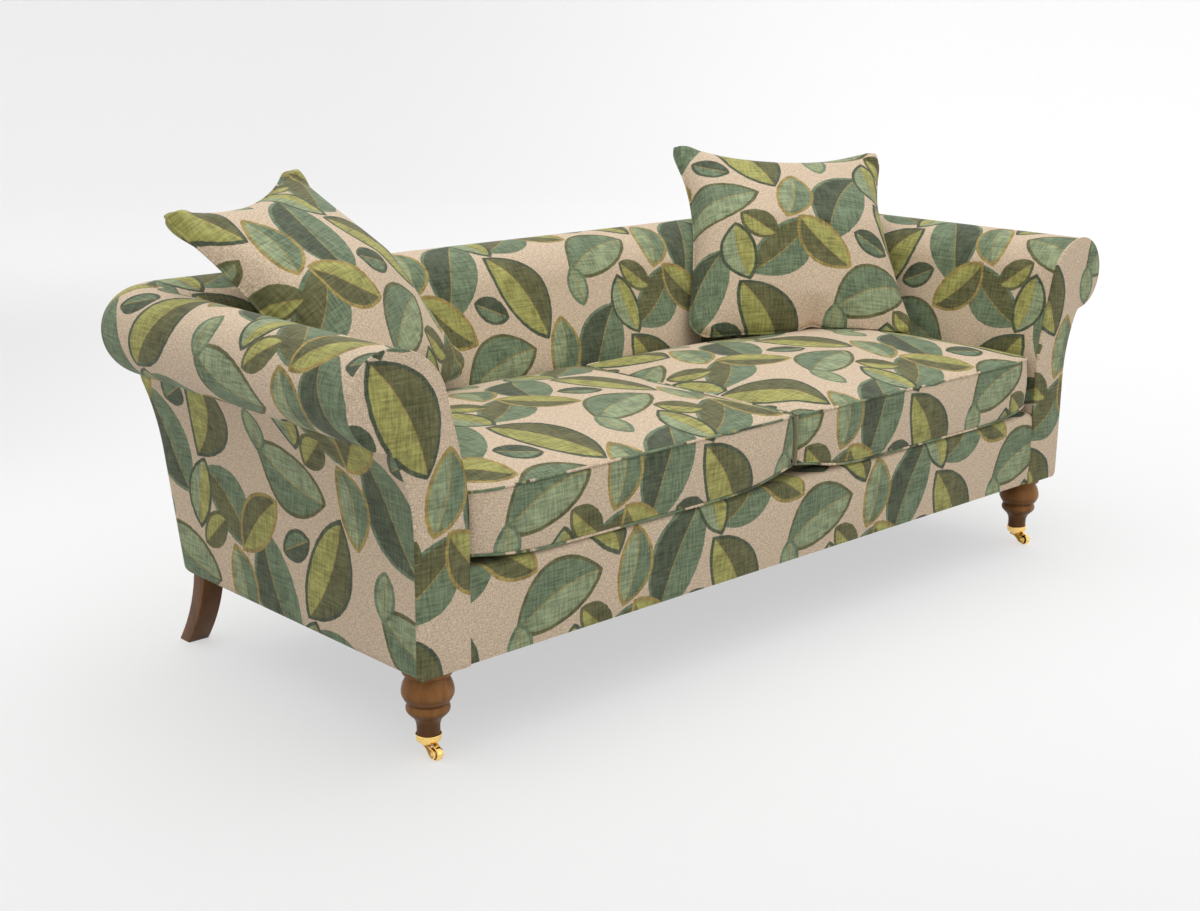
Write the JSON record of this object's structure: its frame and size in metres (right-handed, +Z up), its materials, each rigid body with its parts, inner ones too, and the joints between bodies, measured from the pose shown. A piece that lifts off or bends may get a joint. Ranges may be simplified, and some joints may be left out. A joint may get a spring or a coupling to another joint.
{
  "type": "three-seater sofa",
  "caption": "Low scroll-arm sofa in printed cloth with loose seat and scatter cushions, turned front legs on brass castors and swept rear legs, for sitting indoors.",
  "frame": {"origin": "on the floor, under the middle of the sofa's overall box", "axes": "+X to the right seen from the front, +Y towards the back, +Z up; the sofa faces -Y"},
  "size_m": [2.17, 0.92, 0.9099],
  "materials": {
    "timber": "sawn hardwood, hidden",
    "steel": "plain wire and fixings",
    "foam": "upholstery foam and fibre",
    "webbing": "woven webbing",
    "lining": "thin black lining",
    "cloth": "linen ground with a large print in greens",
    "walnut": "satin walnut stain",
    "brass": "polished brass"
  },
  "bodies": {
    "sofa_body": {"front_rail": "timber", "back_rail": "timber", "left_side_rail": "timber", "right_side_rail": "timber", "centre_rail": "timber", "left_arm_front_board": "timber", "right_arm_front_board": "timber", "left_rear_post": "timber", "right_rear_post": "timber", "left_arm_top_rail": "timber", "right_arm_top_rail": "timber", "left_arm_tack_rail": "timber", "right_arm_tack_rail": "timber", "back_top_rail": "timber", "back_tack_rail": "timber", "back_centre_post": "timber", "corner_blocks": "timber", "frame_screws": "steel", "seat_springs": "steel", "spring_clips": "steel", "leg_bolts": "steel", "leg_inserts": "steel", "seat_platform": "foam", "left_arm_padding": "foam", "right_arm_padding": "foam", "back_padding": "foam", "front_edge_padding": "foam", "back_webbing": "webbing", "arm_webbing": "webbing", "dust_cover": "lining", "left_arm_cover": "cloth", "right_arm_cover": "cloth", "left_arm_facing": "cloth", "right_arm_facing": "cloth", "inside_back_cover": "cloth", "outside_back_cover": "cloth", "front_border_cover": "cloth", "left_front_leg": "walnut", "right_front_leg": "walnut", "left_rear_leg": "walnut", "right_rear_leg": "walnut", "left_castor_cup": "brass", "left_castor_pintle": "brass", "right_castor_cup": "brass", "right_castor_pintle": "brass"},
    "left_castor_swivel": {"left_castor_horn": "brass", "left_castor_axle": "brass"},
    "left_castor_roller": {"left_castor_wheel": "brass"},
    "left_seat_cushion": {"left_seat_cushion_cover": "cloth", "left_seat_cushion_core": "foam"},
    "left_scatter_cushion": {"left_scatter_cover": "cloth", "left_scatter_filling": "foam"},
    "right_castor_swivel": {"right_castor_horn": "brass", "right_castor_axle": "brass"},
    "right_castor_roller": {"right_castor_wheel": "brass"},
    "right_seat_cushion": {"right_seat_cushion_cover": "cloth", "right_seat_cushion_core": "foam"},
    "right_scatter_cushion": {"right_scatter_cover": "cloth", "right_scatter_filling": "foam"}
  },
  "joints": [
    {"name": "left_castor_turn", "type": "hinge", "parent": "sofa_body", "child": "left_castor_swivel", "pos_m": [-0.9, -0.403, 0.013], "axis": [0, 0, 1], "continuous": true},
    {"name": "left_wheel_roll", "type": "hinge", "parent": "left_castor_swivel", "child": "left_castor_roller", "pos_m": [-0.90376, -0.42974, 0.013], "axis": [0.9903, -0.1392, 0], "continuous": true},
    {"name": "left_seat_cushion_lift", "type": "slide", "parent": "sofa_body", "child": "left_seat_cushion", "axis": [0, 0, 1], "range_m": [0, 0.45]},
    {"name": "left_scatter_lift", "type": "slide", "parent": "left_seat_cushion", "child": "left_scatter_cushion", "axis": [0, 0, 1], "range_m": [0, 0.4]},
    {"name": "right_castor_turn", "type": "hinge", "parent": "sofa_body", "child": "right_castor_swivel", "pos_m": [0.9, -0.403, 0.013], "axis": [0, 0, 1], "continuous": true},
    {"name": "right_wheel_roll", "type": "hinge", "parent": "right_castor_swivel", "child": "right_castor_roller", "pos_m": [0.89624, -0.42974, 0.013], "axis": [0.9903, -0.1392, 0], "continuous": true},
    {"name": "right_seat_cushion_lift", "type": "slide", "parent": "sofa_body", "child": "right_seat_cushion", "axis": [0, 0, 1], "range_m": [0, 0.45]},
    {"name": "right_scatter_lift", "type": "slide", "parent": "right_seat_cushion", "child": "right_scatter_cushion", "axis": [0, 0, 1], "range_m": [0, 0.4]}
  ]
}
